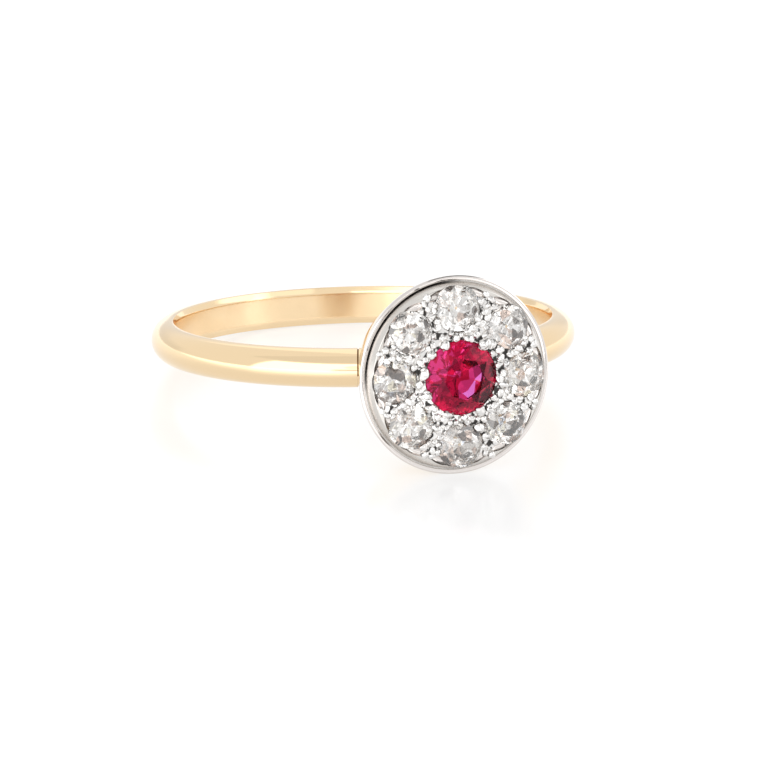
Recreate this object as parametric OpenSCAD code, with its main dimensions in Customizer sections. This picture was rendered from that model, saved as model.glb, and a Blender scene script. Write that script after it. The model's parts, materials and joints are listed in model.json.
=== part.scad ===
// Round cluster ring: a red centre stone with eight old cut white stones round it,
// set with grains in a raised white metal top on a yellow gold cup and D-shaped band.
// Millimetres. The ring lies on its side at rest: z = 0 is the surface it lies on,
// the top faces -Y and the finger hole runs nearly along Z.

/* [Finger] */
// Diameter of the finger hole
finger_d = 17.2; // [15.6:0.1:20.6]

/* [Band] */
// Width of the band along the finger
band_w = 1.75; // [1.5:0.05:2.1]
// Thickness of the band at its crown
band_t = 1.1; // [1.0:0.05:1.3]
// Width of the flat inside of the band, between its eased edges
band_flat_w = 1.2; // [1.0:0.05:1.4]
// Depth of the eased edges
band_ease = 0.1; // [0.06:0.01:0.14]

/* [Top] */
// Outer diameter of the rim
rim_d = 8.84; // [8.84:0.02:9.4]
// Height of the rim above the surface of the finger
rim_height = 3.3; // [2.7:0.05:3.7]
// Width of the flat on the rim
rim_w = 0.2; // [0.15:0.01:0.24]
// Depth of the groove inside the rim
groove_depth = 0.18; // [0.1:0.01:0.22]
// Height of the stone platform's edge above the rim
platform_edge_h = 0.45; // [0.35:0.05:0.5]
// Height of the stone platform's middle above the rim
platform_mid_h = 0.8; // [0.7:0.05:0.9]
// Thickness of the white metal under the platform's edge
platform_t = 0.35; // [0.3:0.05:0.4]

/* [Cup] */
// Half angle of the cup's outer cone
cup_angle = 20; // [14:1:22]
// Wall thickness of the cup
cup_wall = 0.35; // [0.3:0.05:0.45]
// Thickness of the gold under the edge of the top
cup_plate_t = 0.3; // [0.2:0.05:0.5]

/* [Centre stone] */
// Girdle diameter of the centre stone
ruby_d = 3.3; // [2.9:0.05:3.4]
// Height of the centre stone's girdle above the rim
ruby_h = 0.7; // [0.6:0.05:0.8]

/* [Side stones] */
// Radius of the circle that the side stones sit on
cluster_r = 3.05; // [3.0:0.01:3.08]
// Height of the side stones' girdles above the rim
diamond_h = 0.55; // [0.45:0.05:0.6]
// Outward tilt of the side stones
diamond_tilt = 7; // [0:1:9]

/* [Grains] */
// Diameter of a middling setting grain
grain_d = 0.4; // [0.3:0.02:0.44]

/* [Hidden] */

gold = "#E3BC78";
platinum = "#D5D2CE";
red_stone = "#B1163C";
white_stone = "#EEF0F2";

// Gap between pieces that touch in the real ring
gap = 0.02;
// Distance that a cut runs past the metal
overcut = 0.5;
turned_fn = 96;
wire_fn = 48;
grain_fn = 24;

finger_r = finger_d / 2;
band_r = finger_r + band_t;
// The band is round wire with its inside flattened: its section is a circle cut by a chord
wire_r = band_w / 2;
wire_centre_r = band_r - wire_r;

// The top and cup are turned round the head's axis, where z = 0 is the plane of the rim
rim_r = rim_d / 2;
rim_plane = finger_r + rim_height;
rim_chamfer = 0.03;
rim_taper = 0.04;
groove_floor_t = 0.14;
groove_run = 0.04;
flank_run = 0.2;
skirt_t = 0.3;
flange_z = -groove_depth - groove_floor_t;
groove_r = rim_r - rim_w - groove_run;
platform_r = groove_r - flank_run;
platform_under_z = platform_edge_h - platform_t;
// The platform's surface is part of a large sphere
platform_rise = platform_mid_h - platform_edge_h;
dome_r = (pow(platform_r, 2) + pow(platform_rise, 2)) / (2 * platform_rise);
dome_centre_z = platform_mid_h - dome_r;

cup_top_z = flange_z - gap;
cup_top_r = rim_r - rim_taper - gap / 2;
boss_r = platform_r - skirt_t;
boss_z = platform_under_z - gap;
cup_plate_z = cup_top_z - cup_plate_t;
// The cup ends on a curve that follows the finger, just clear of it
saddle_gap = 0.2;
saddle_r = finger_r + saddle_gap;
// Share of the finger's radius at which the blank for the cup ends
cup_back_share = 0.86;
cup_back_z = cup_back_share * finger_r - rim_plane;
cup_back_r = cup_top_r - (cup_top_z - cup_back_z) * tan(cup_angle);
hollow_top_r = cup_top_r - cup_wall - cup_plate_t * tan(cup_angle);
hollow_depth = cup_plate_z - cup_back_z + overcut;
hollow_back_r = hollow_top_r - hollow_depth * tan(cup_angle);

// Proportions of the stones, as shares of the girdle's diameter or radius:
// [crown height, girdle height, pavilion depth, table, star tips, lower tips, culet]
ruby_cut = [0.14, 0.03, 0.39, 0.56, 0.78, 0.40, 0.02];
diamond_cut = [0.165, 0.03, 0.42, 0.50, 0.74, 0.42, 0.07];
// Side stones, anticlockwise from the right:
// [place round the circle, shift outwards, girdle diameter, squareness, turn]
diamond_rows = [
    [ -2,  0.02, 2.00, 0.030,  10],
    [ 42,  0.04, 1.98, 0.020,  31],
    [ 91,  0.00, 2.08, 0.035,  -6],
    [137,  0.03, 1.96, 0.015,  18],
    [180, -0.03, 1.94, 0.035,   3],
    [222,  0.04, 2.00, 0.030,  25],
    [270,  0.00, 2.06, 0.025, -12],
    [314,  0.03, 1.98, 0.030,  36]
];
ruby_row = [0, -cluster_r, ruby_d, 0.01, 8];
stone_count = len(diamond_rows);

// Grains in each space between two side stones:
// [turn from the middle of the space, distance from the head's axis, share of grain_d]
grain_rows = [
    [ 0.0, 2.00, 0.95],
    [ 0.0, 2.52, 1.05],
    [ 0.5, 3.04, 0.78],
    [-6.5, 3.58, 0.90],
    [ 6.5, 3.62, 0.85],
    [22.0, 1.88, 0.62]
];
// Share of a grain's radius that is sunk in the platform
grain_sink = 0.1;

// Share of a stone's girdle that the open hole behind it takes up
hole_share = 0.6;

// Radius of a stone's outline, which bulges a little at four corners as old cuts do
function outline_r(row, a) = row[2] / 2 * (1 - row[3] * cos(4 * a));
function widest_r(row) = row[2] / 2 * (1 + row[3]);

// Heights in a stone above the middle of its girdle, as shares of its diameter
corner_cos = cos(22.5);
function crown_z(cut) = cut[1] / 2 + cut[0];
function star_z(cut) = crown_z(cut) - (cut[4] * corner_cos - cut[3]) / (1 - cut[3]) * cut[0];
function culet_z(cut) = -cut[1] / 2 - cut[2];
function lower_z(cut) = -cut[1] / 2 - (1 - cut[5] * corner_cos) / (1 - cut[6]) * cut[2];

girdle_n = 32;
girdle_step = girdle_n / 8;

function stone_ring(row, count, share, z, turn) =
    [for (i = [0 : count - 1])
        let (a = i * 360 / count + turn, r = outline_r(row, a) * share)
        [r * cos(a), r * sin(a), z * row[2]]];

function stone_points(row, cut) = concat(
    stone_ring(row, 8, cut[3], crown_z(cut), 0),
    stone_ring(row, 8, cut[4], star_z(cut), 22.5),
    stone_ring(row, girdle_n, 1, cut[1] / 2, 0),
    stone_ring(row, girdle_n, 1, -cut[1] / 2, 0),
    stone_ring(row, 8, cut[5], lower_z(cut), 22.5),
    stone_ring(row, 8, cut[6], culet_z(cut), 0));

function table_i(i) = i % 8;
function star_i(i) = 8 + i % 8;
function upper_i(i) = 16 + i % girdle_n;
function lower_i(i) = 16 + girdle_n + i % girdle_n;
function pavilion_i(i) = 16 + 2 * girdle_n + i % 8;
function culet_i(i) = 24 + 2 * girdle_n + i % 8;

stone_faces = concat(
    [[for (i = [7 : -1 : 0]) table_i(i)]],
    [for (i = [0 : 7]) [star_i(i), table_i(i), table_i(i + 1)]],
    [for (i = [0 : 7]) [table_i(i + 1), star_i(i + 1), star_i(i)]],
    [for (i = [0 : 7]) [star_i(i), star_i(i + 1), upper_i((i + 1) * girdle_step)]],
    [for (i = [0 : 7]) for (j = [0 : girdle_step - 1])
        [star_i(i), upper_i(i * girdle_step + j + 1), upper_i(i * girdle_step + j)]],
    [for (i = [0 : girdle_n - 1]) [upper_i(i), upper_i(i + 1), lower_i(i + 1)]],
    [for (i = [0 : girdle_n - 1]) [upper_i(i), lower_i(i + 1), lower_i(i)]],
    [for (i = [0 : 7]) for (j = [0 : girdle_step - 1])
        [pavilion_i(i), lower_i(i * girdle_step + j), lower_i(i * girdle_step + j + 1)]],
    [for (i = [0 : 7]) [pavilion_i(i), lower_i((i + 1) * girdle_step), pavilion_i(i + 1)]],
    [for (i = [0 : 7]) [pavilion_i(i), pavilion_i(i + 1), culet_i(i + 1)]],
    [for (i = [0 : 7]) [culet_i(i), pavilion_i(i), culet_i(i + 1)]],
    [[for (i = [0 : 7]) culet_i(i)]]);

// Angle of the middle of the space after side stone i
function next_place(i) = i + 1 < stone_count ? diamond_rows[i + 1][0] : diamond_rows[0][0] + 360;
function space_angle(i) = (diamond_rows[i][0] + next_place(i)) / 2;
function dome_z(r) = dome_centre_z + sqrt(pow(dome_r, 2) - pow(r, 2));

// At rest the rim's lower edge and the back of the band touch the surface
rest_reach = rim_plane - rim_chamfer + wire_centre_r;
rest_tilt = atan2(rim_r, rest_reach) - asin(wire_r / norm([rim_r, rest_reach]));
axis_z = wire_r + wire_centre_r * sin(rest_tilt);

// Foremost point of the lowest side stone, which is the front of the whole ring
function front_y(row, cut) = min([for (p = stone_points(row, cut))
    let (out = p[0] * cos(row[4]) - p[1] * sin(row[4]),
         r = cluster_r + row[1] + out * cos(diamond_tilt) + p[2] * sin(diamond_tilt),
         z = diamond_h - row[1] * tan(diamond_tilt) - out * sin(diamond_tilt)
             + p[2] * cos(diamond_tilt))
    -(rim_plane + z) * cos(rest_tilt) - r * sin(rest_tilt)]);
back_y = wire_centre_r * cos(rest_tilt) + wire_r;
centre_y = -(front_y(diamond_rows[6], diamond_cut) + back_y) / 2;

// Lays a ring whose finger hole runs along Z on its side
module laid() {
    translate([0, centre_y, axis_z])
        rotate([-rest_tilt, 0, 0])
            children();
}

// Puts what is turned round Z, from the plane of the rim, on the head's axis
module on_head() {
    rotate([90, 0, 0])
        translate([0, 0, rim_plane])
            children();
}

// Puts a stone or its seat in its place in the head
module in_place(row, h, tilt) {
    rotate([0, 0, row[0]])
        translate([cluster_r + row[1], 0, h - row[1] * tan(tilt)])
            rotate([0, tilt, 0])
                rotate([0, 0, row[4]])
                    children();
}

module stone(row, cut) {
    polyhedron(points = stone_points(row, cut), faces = stone_faces);
}

// The room that a stone needs in the metal: its crown, girdle, seat and the hole behind
module seat(row, cut, h) {
    d = row[2];
    wide = widest_r(row);
    hole_r = hole_share * wide;
    half_girdle = cut[1] / 2 * d + gap;
    slope = (-lower_z(cut) - cut[1] / 2) * d / (wide * (1 - cut[5]));
    seat_z = -half_girdle - (wide + gap - hole_r) * slope;
    bottom_z = cup_plate_z - h - overcut;
    rotate_extrude($fn = turned_fn)
        polygon([[0, bottom_z], [hole_r, bottom_z], [hole_r, seat_z],
                 [wide + gap, -half_girdle], [wide + gap, half_girdle],
                 [cut[4] * wide + gap, star_z(cut) * d + gap],
                 [cut[3] * wide + gap, crown_z(cut) * d + gap],
                 [0, crown_z(cut) * d + gap]]);
}

module seats() {
    in_place(ruby_row, ruby_h, 0)
        seat(ruby_row, ruby_cut, ruby_h);
    for (row = diamond_rows)
        in_place(row, diamond_h, diamond_tilt)
            seat(row, diamond_cut, diamond_h);
}

// The band's inside: a flat with an eased edge on both sides
module shank() {
    flat_z = band_flat_w / 2;
    outer_z = band_w - flat_z;
    rotate_extrude($fn = 2 * turned_fn)
        intersection() {
            translate([wire_centre_r, 0])
                circle(wire_r, $fn = wire_fn);
            polygon([[finger_r, -flat_z], [finger_r + 2 * band_ease, -outer_z],
                     [finger_r + 2 * band_t, -outer_z], [finger_r + 2 * band_t, outer_z],
                     [finger_r + 2 * band_ease, outer_z], [finger_r, flat_z]]);
        }
}

// The cup: an outer cone with a flat edge and a boss that fills the top from behind
module cup() {
    rotate_extrude($fn = turned_fn)
        polygon([[0, cup_back_z], [cup_back_r, cup_back_z], [cup_top_r, cup_top_z],
                 [boss_r - gap, cup_top_z], [boss_r - gap, boss_z], [0, boss_z]]);
}

module cup_hollow() {
    translate([0, 0, cup_plate_z - hollow_depth])
        cylinder(h = hollow_depth, r1 = hollow_back_r, r2 = hollow_top_r, $fn = turned_fn);
}

// Band and cup are soldered together, so they are one solid
module band() {
    color(gold)
        laid()
            difference() {
                union() {
                    shank();
                    difference() {
                        on_head() cup();
                        cylinder(h = 2 * rim_d, r = saddle_r, center = true, $fn = 2 * turned_fn);
                    }
                }
                on_head() cup_hollow();
                on_head() seats();
            }
}

module grain(angle, r, share) {
    grain_r = grain_d / 2 * share;
    rotate([0, 0, angle])
        translate([r, 0, dome_z(r) - grain_sink * grain_r])
            sphere(grain_r, $fn = grain_fn);
}

module grains() {
    for (i = [0 : stone_count - 1])
        for (row = grain_rows)
            grain(space_angle(i) + row[0], row[1], row[2]);
}

// The white metal top: rim, groove and domed platform
module top_blank() {
    rotate_extrude($fn = turned_fn) {
        polygon([[0, platform_under_z], [boss_r, platform_under_z], [boss_r, flange_z],
                 [rim_r - rim_taper, flange_z], [rim_r, -rim_chamfer],
                 [rim_r - rim_chamfer, 0], [rim_r - rim_w, 0], [groove_r, -groove_depth],
                 [platform_r, platform_edge_h], [0, platform_edge_h]]);
        intersection() {
            translate([0, dome_centre_z])
                circle(dome_r, $fn = 4 * turned_fn);
            translate([0, platform_under_z])
                square([platform_r, 2 * platform_mid_h]);
        }
    }
}

module top_plate() {
    color(platinum)
        laid()
            on_head()
                difference() {
                    union() {
                        top_blank();
                        grains();
                    }
                    seats();
                }
}

module ruby() {
    color(red_stone)
        laid()
            on_head()
                in_place(ruby_row, ruby_h, 0)
                    stone(ruby_row, ruby_cut);
}

module diamond(number) {
    row = diamond_rows[number - 1];
    color(white_stone)
        laid()
            on_head()
                in_place(row, diamond_h, diamond_tilt)
                    stone(row, diamond_cut);
}

band();
top_plate();
ruby();
diamond(1);  // diamond_1
diamond(2);  // diamond_2
diamond(3);  // diamond_3
diamond(4);  // diamond_4
diamond(5);  // diamond_5
diamond(6);  // diamond_6
diamond(7);  // diamond_7
diamond(8);  // diamond_8
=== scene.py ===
# %% [markdown]
# # A round cluster ring lying on its side
#
# The ring is a plain yellow gold band whose ends are soldered to a gold cup. The cup carries a domed
# white metal top, and the top holds a red centre stone and eight white stones by small beads of metal
# called grains. The construction model gives every size and place. This file gives the ring its smooth
# surfaces, its engraved detail and its finishes, and then lights and photographs it.

# %% Load the frame
import json
import math

import bpy
import bmesh
import numpy as np
from mathutils import Matrix, Vector


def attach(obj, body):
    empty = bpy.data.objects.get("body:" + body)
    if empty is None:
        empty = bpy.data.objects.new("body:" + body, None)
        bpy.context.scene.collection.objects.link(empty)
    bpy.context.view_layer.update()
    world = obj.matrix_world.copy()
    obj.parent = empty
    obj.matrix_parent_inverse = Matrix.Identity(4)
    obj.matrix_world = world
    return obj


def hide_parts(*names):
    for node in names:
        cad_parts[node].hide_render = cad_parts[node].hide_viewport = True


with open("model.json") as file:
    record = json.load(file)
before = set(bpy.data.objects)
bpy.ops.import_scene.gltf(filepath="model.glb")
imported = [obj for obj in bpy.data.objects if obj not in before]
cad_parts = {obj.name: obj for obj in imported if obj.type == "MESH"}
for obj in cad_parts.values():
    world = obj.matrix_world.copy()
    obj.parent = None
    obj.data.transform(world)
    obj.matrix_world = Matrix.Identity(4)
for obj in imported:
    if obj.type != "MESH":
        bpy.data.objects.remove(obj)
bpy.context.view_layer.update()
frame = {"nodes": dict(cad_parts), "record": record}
nodes = frame["nodes"]
MM = 0.001

# %% [markdown]
# ## Two frames to work in
#
# A ring is easiest to think about standing straight, with its finger hole along one axis. The
# construction model lays it down, tilted a little because it rests on the edge of its top. So two
# matrices carry that tilt: one takes points written round the finger's axis to their real place, and one
# takes points written round the axis of the head. Each mesh is made in the handier frame, in
# millimetres, and then moved for good.

# %% The finger's frame and the head's frame
finger_hole = frame["record"]["mounts"][0]
FINGER_R = finger_hole["dims"]["r_mm"]
RIM_HEIGHT = 3.3
RIM_PLANE = FINGER_R + RIM_HEIGHT
across = Vector((1, 0, 0))
finger_axis = Vector(finger_hole["axis"]).normalized()
head_axis = across.cross(finger_axis)
ring_centre = Vector(finger_hole["pos_m"])


def frame_matrix(origin, x_axis, y_axis, z_axis):
    """Takes millimetres along three axes from an origin to the shared frame in metres."""
    turn = Matrix((x_axis, y_axis, z_axis)).transposed().to_4x4()
    return Matrix.Translation(origin) @ turn @ Matrix.Scale(MM, 4)


FINGER_FRAME = frame_matrix(ring_centre, across, -head_axis, finger_axis)
HEAD_FRAME = frame_matrix(ring_centre + head_axis * RIM_PLANE * MM, across, finger_axis, head_axis)
rest_tilt = math.atan2(finger_axis.y, finger_axis.z)
print("the ring lies tilted by", round(math.degrees(rest_tilt), 2), "degrees")

# %% [markdown]
# ## The camera
#
# The camera comes early, because it says which surfaces matter most. It stands a little to the left and
# looks down by about twenty degrees. A long lens far away gives the flat perspective of a product
# picture. The picture is 768 pixels square, and one pixel scale at the middle of the ring fixes the
# lens.

# %% Place the camera
PICTURE_PX = 768
CAMERA_AZIMUTH = math.radians(-20.72)
CAMERA_ELEVATION = math.radians(19.03)
CAMERA_ROLL = math.radians(2.41)
CAMERA_DISTANCE_MM = 260
PX_PER_MM = 21.8
RING_CENTRE_PX = (363.06, 334.81)


def camera_axes(azimuth, elevation, roll):
    """Right, up and back directions of a camera that looks at the middle of the ring."""
    back = Vector((math.sin(azimuth) * math.cos(elevation),
                   -math.cos(azimuth) * math.cos(elevation),
                   math.sin(elevation)))
    right = Vector((math.cos(azimuth), math.sin(azimuth), 0))
    up = back.cross(right)
    rolled_right = right * math.cos(roll) + up * math.sin(roll)
    return rolled_right, back.cross(rolled_right), back


cam_right, cam_up, cam_back = camera_axes(CAMERA_AZIMUTH, CAMERA_ELEVATION, CAMERA_ROLL)
camera_data = bpy.data.cameras.new("product_camera")
camera_data.sensor_width = 36
camera_data.lens = PX_PER_MM * CAMERA_DISTANCE_MM / PICTURE_PX * camera_data.sensor_width
camera_data.clip_start = 0.01
camera_data.clip_end = 10
camera = bpy.data.objects.new("product_camera", camera_data)
bpy.context.scene.collection.objects.link(camera)
aside_mm = (PICTURE_PX / 2 - RING_CENTRE_PX[0]) / PX_PER_MM
below_mm = (PICTURE_PX / 2 - RING_CENTRE_PX[1]) / PX_PER_MM
camera_offset = cam_back * CAMERA_DISTANCE_MM + cam_right * aside_mm - cam_up * below_mm
camera_turn = Matrix((cam_right, cam_up, cam_back)).transposed().to_4x4()
camera.matrix_world = Matrix.Translation(ring_centre + camera_offset * MM) @ camera_turn
bpy.context.scene.camera = camera
print("lens", round(camera_data.lens, 1), "mm")

# %% [markdown]
# ## Small helpers
#
# A turned part is a profile spun round an axis, as on a lathe. A drawn profile has sharp corners, and
# real metal never does, so one helper rounds chosen corners with short arcs. Another cuts one closed
# mesh with others. Booleans are a good choice here, because a setter's graver really does remove metal.

# %% Mesh helpers
def rounded(corners, steps=4):
    """An outline from (r, z, radius) corners, where each corner with a radius becomes a short arc."""
    outline = []
    for i, (r, z, radius) in enumerate(corners):
        here = Vector((r, z))
        if not radius:
            outline.append(here)
            continue
        before = (Vector(corners[i - 1][:2]) - here).normalized()
        after = (Vector(corners[(i + 1) % len(corners)][:2]) - here).normalized()
        half = before.angle(after) / 2
        reach = radius / math.tan(half)
        centre = here + (before + after).normalized() * (radius / math.sin(half))
        start = here + before * reach - centre
        end = here + after * reach - centre
        for k in range(steps + 1):
            outline.append(centre + start.slerp(end, k / steps) * radius)
    return [(p.x, p.y) for p in outline]


def turned(profile, count):
    """Spins a profile of (r, z) points, which starts and ends on the axis, into a closed mesh."""
    angles = [2 * math.pi * k / count for k in range(count)]
    points = [(0, 0, profile[0][1])]
    for r, z in profile[1:-1]:
        points += [(r * math.cos(a), r * math.sin(a), z) for a in angles]
    points.append((0, 0, profile[-1][1]))
    faces = []
    rings = len(profile) - 2
    for k in range(count):
        n = (k + 1) % count
        faces.append((0, 1 + n, 1 + k))
        for ring in range(rings - 1):
            a = 1 + ring * count
            b = a + count
            faces.append((a + k, a + n, b + n, b + k))
        last = 1 + (rings - 1) * count
        faces.append((last + k, last + n, len(points) - 1))
    return points, faces


def mesh_object(name, points, faces, matrix):
    """A new object from points in a working frame. Its place goes into the mesh, its faces point out."""
    mesh = bpy.data.meshes.new(name)
    mesh.from_pydata(points, [], faces)
    mesh.transform(matrix)
    work = bmesh.new()
    work.from_mesh(mesh)
    bmesh.ops.recalc_face_normals(work, faces=work.faces)
    work.to_mesh(mesh)
    work.free()
    made = bpy.data.objects.new(name, mesh)
    bpy.context.scene.collection.objects.link(made)
    return made


def settle(piece):
    """Turns a piece's modifiers into plain mesh and removes them."""
    graph = bpy.context.evaluated_depsgraph_get()
    mesh = bpy.data.meshes.new_from_object(piece.evaluated_get(graph))
    piece.modifiers.clear()
    piece.data = mesh
    return piece


def combine(piece, others, operation):
    """Cuts, joins or meets a closed mesh with others, which are then gone."""
    for other in others:
        step = piece.modifiers.new("combine", "BOOLEAN")
        step.operation = operation
        step.solver = "MANIFOLD"
        step.object = other
    settle(piece)
    for other in others:
        bpy.data.objects.remove(other)
    return piece


def fill_empty_finishes(piece, finish):
    """Gives a finish to the faces that a cut left without one."""
    for i, material in enumerate(piece.data.materials):
        if material is None:
            piece.data.materials[i] = finish


def smooth(piece, sharp_degrees):
    """Smooth shading, apart from edges that turn by more than the given angle."""
    piece.data.shade_smooth()
    piece.data.set_sharp_from_angle(angle=math.radians(sharp_degrees))
    return piece


# %% [markdown]
# ## Material helpers
#
# Every finish is a small node tree. One function adds a node with its settings and links, and one turns
# the hex colour that the eye knows into the linear light that the shader works in.

# %% Material helpers
def linear(hex_colour):
    """A hex sRGB colour as linear red, green, blue and full alpha."""
    parts = [int(hex_colour[i:i + 2], 16) / 255 for i in (1, 3, 5)]
    return tuple(c / 12.92 if c <= 0.04045 else ((c + 0.055) / 1.055) ** 2.4 for c in parts) + (1,)


def add_node(tree, kind, settings=None, **links):
    """Adds a node. Settings go to its properties, and links to its inputs, as sockets or as values."""
    made = tree.nodes.new(kind)
    for name, value in (settings or {}).items():
        setattr(made, name, value)
    for name, value in links.items():
        key = int(name[1:]) if name[1:].isdigit() else name.replace("_", " ")
        if isinstance(value, bpy.types.NodeSocket):
            tree.links.new(value, made.inputs[key])
        else:
            made.inputs[key].default_value = value
    return made


def maths(tree, operation, *values):
    """The result of a Math node on sockets or numbers."""
    links = {f"_{i}": value for i, value in enumerate(values)}
    return add_node(tree, "ShaderNodeMath", {"operation": operation}, **links).outputs["Value"]


def vector_maths(tree, operation, first, second, result="Value"):
    """A result of a Vector Math node on two sockets or vectors."""
    made = add_node(tree, "ShaderNodeVectorMath", {"operation": operation}, _0=first, _1=second)
    return made.outputs[result]


def new_finish(name):
    """An empty material with a Principled shader, its tree and that shader."""
    material = bpy.data.materials.new(name)
    material.use_nodes = True
    tree = material.node_tree
    shader = next(n for n in tree.nodes if n.type == "BSDF_PRINCIPLED")
    return material, tree, shader


def blend(tree, amount, first, second):
    """A colour between two, by an amount from a socket. Each colour is a hex text or a socket."""
    first, second = (linear(c) if isinstance(c, str) else c for c in (first, second))
    mix = add_node(tree, "ShaderNodeMix", {"data_type": "RGBA"}, _0=amount, _6=first, _7=second)
    return mix.outputs[2]


def fade(tree, value, start, stop, first=0.0, last=1.0):
    """A number that goes softly from first to last while a value goes from start to stop."""
    span = add_node(tree, "ShaderNodeMapRange", {"interpolation_type": "SMOOTHSTEP"}, Value=value,
                    From_Min=start, From_Max=stop, To_Min=first, To_Max=last)
    return span.outputs["Result"]


# %% [markdown]
# ## Yellow gold
#
# The band is 18 carat gold, drawn to wire, bent and polished on a buffing wheel. Gold takes its colour
# from its reflections, so the colour goes on the base of a fully metallic shader. Wear leaves fine
# scratches about a tenth of a millimetre apart. They soften the gloss a little outside, and more on the
# inside of the band, which the buffing wheel reaches less well. The inside of the cup was never polished
# at all. Old polish has dried in the solder seams and left them brown.

# %% Gold finishes
SCRATCH_MM = 0.12
GLOSS_PATCH = 8
GLOSS_SPAN = (0.3, 0.7)
MARK_DEPTH_MM = 0.02


def add_gloss_variation(tree, shader, coordinates, spacing_mm, low, high):
    """Lets the roughness wander between two values over patches a few spacings wide."""
    noise = add_node(tree, "ShaderNodeTexNoise", Vector=coordinates, Detail=4.0, Roughness=0.6,
                     Scale=1 / (spacing_mm * GLOSS_PATCH * MM))
    spread = add_node(tree, "ShaderNodeMapRange", Value=noise.outputs["Fac"], From_Min=GLOSS_SPAN[0],
                      From_Max=GLOSS_SPAN[1], To_Min=low, To_Max=high)
    tree.links.new(spread.outputs["Result"], shader.inputs["Roughness"])


def add_fine_bump(tree, shader, coordinates, spacing_mm, strength):
    """Tool marks or scratches of a given spacing, as a shallow bump."""
    marks = add_node(tree, "ShaderNodeTexNoise", Vector=coordinates, Detail=3.0,
                     Scale=1 / (spacing_mm * MM))
    bump = add_node(tree, "ShaderNodeBump", Height=marks.outputs["Fac"], Strength=strength,
                    Distance=MARK_DEPTH_MM * MM)
    tree.links.new(bump.outputs["Normal"], shader.inputs["Normal"])


def make_metal(name, colour, spacing_mm, bump_strength, low, high):
    """Its marks blur and bend the reflections, so the metal looks worked and worn, not like plastic."""
    material, tree, shader = new_finish(name)
    shader.inputs["Base Color"].default_value = linear(colour)
    shader.inputs["Metallic"].default_value = 1
    place = add_node(tree, "ShaderNodeTexCoord").outputs["Object"]
    add_gloss_variation(tree, shader, place, spacing_mm, low, high)
    add_fine_bump(tree, shader, place, spacing_mm, bump_strength)
    return material, tree, shader, place


POLISHED_GOLD = make_metal("buffed_yellow_gold", "#F3D9B1", SCRATCH_MM, 0.03, 0.05, 0.12)[0]
WORN_GOLD = make_metal("worn_yellow_gold", "#EFD5AE", SCRATCH_MM, 0.04, 0.17, 0.25)[0]
CAST_GOLD = make_metal("unpolished_cast_gold", "#EBCB98", SCRATCH_MM, 0.3, 0.3, 0.45)[0]
GRIMY_GOLD = make_metal("grimy_solder_seam", "#8A663D", SCRATCH_MM, 0.3, 0.4, 0.6)[0]
print("gold finishes:", [m.name for m in (POLISHED_GOLD, WORN_GOLD, CAST_GOLD, GRIMY_GOLD)])

# %% [markdown]
# ## Where each stone sits
#
# The seats, grains and engraving all follow the stones, so their places are read from the stones
# themselves. A cut stone's points lie in rings round its own axis. Their mean is on that axis, the
# direction in which they spread least is the axis, and the widest ring is the girdle.

# %% Read the stones' places
GIRDLE_SHARE = 0.9
to_head = HEAD_FRAME.inverted()


def stone_place(name):
    """Girdle centre, outward axis, girdle radius and table height of a stone in the head's frame."""
    points = np.array([to_head @ v.co for v in nodes[name].data.vertices])
    points = np.unique(points.round(4), axis=0)
    centre = points.mean(0)
    axis = np.linalg.svd(points - centre)[2][2]
    axis = axis * np.sign(axis[2])
    height = (points - centre) @ axis
    flat = (points - centre) - np.outer(height, axis)
    reach = np.linalg.norm(flat, axis=1)
    girdle = height[reach > GIRDLE_SHARE * reach.max()].mean()
    return {"centre": Vector(centre + axis * girdle), "axis": Vector(axis), "r": float(reach.max()),
            "table": float(height.max() - girdle)}


SIDE_STONES = sorted(name for name in nodes if name.startswith("diamond_"))
ruby_place = stone_place("ruby")
side_places = [stone_place(name) for name in SIDE_STONES]
side_places.sort(key=lambda p: math.atan2(p["centre"].y, p["centre"].x) % (2 * math.pi))
all_places = [ruby_place] + side_places
for place in all_places:
    print("stone at", [round(c, 2) for c in place["centre"]], "radius", round(place["r"], 3))


def place_matrix(place):
    """The frame of a stone: girdle at zero height, axis along Z."""
    turn = Vector((0, 0, 1)).rotation_difference(place["axis"]).to_matrix().to_4x4()
    return HEAD_FRAME @ Matrix.Translation(place["centre"]) @ turn


# %% [markdown]
# ## The stones
#
# Stones bend light, so both are fully transmissive with the index of refraction of the real crystal:
# 1.77 for ruby and 2.42 for diamond. Their facets are geometry, flat and sharp, and already in the
# construction model, so those meshes stay and only get a finish. A crystal is never one even colour.
# Small cells, about as large as a facet, tint the diamonds. Their greys stand partly for the grey flaws of
# old diamonds and, with the near-black cells, partly for painted dark reflections, and their few colours
# are painted light, the colours a diamond splits light into. The ruby's cells are deeper and lighter reds,
# and those round one point are pink, a painted reflection of light sent back through the table.

# %% Stone finishes
def make_stone(name, index, colours, cell_mm):
    """A clear crystal tinted in cells. Colours are (share of the cells, hex) pairs."""
    material, tree, shader = new_finish(name)
    shader.inputs["Roughness"].default_value = 0
    shader.inputs["IOR"].default_value = index
    shader.inputs["Transmission Weight"].default_value = 1
    place = add_node(tree, "ShaderNodeTexCoord").outputs["Object"]
    cells = add_node(tree, "ShaderNodeTexVoronoi", Vector=place, Scale=1 / (cell_mm * MM))
    pick = add_node(tree, "ShaderNodeSeparateColor", Color=cells.outputs["Color"]).outputs["Red"]
    ramp = add_node(tree, "ShaderNodeValToRGB", Fac=pick)
    ramp.color_ramp.interpolation = "CONSTANT"
    spots = ramp.color_ramp.elements
    edge = 0
    for i, (share, colour) in enumerate(colours):
        spot = spots[i] if i < len(spots) else spots.new(edge)
        spot.position = edge
        spot.color = linear(colour)
        edge += share
    tree.links.new(ramp.outputs["Color"], shader.inputs["Base Color"])
    return material, tree, shader, cells, ramp


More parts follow.
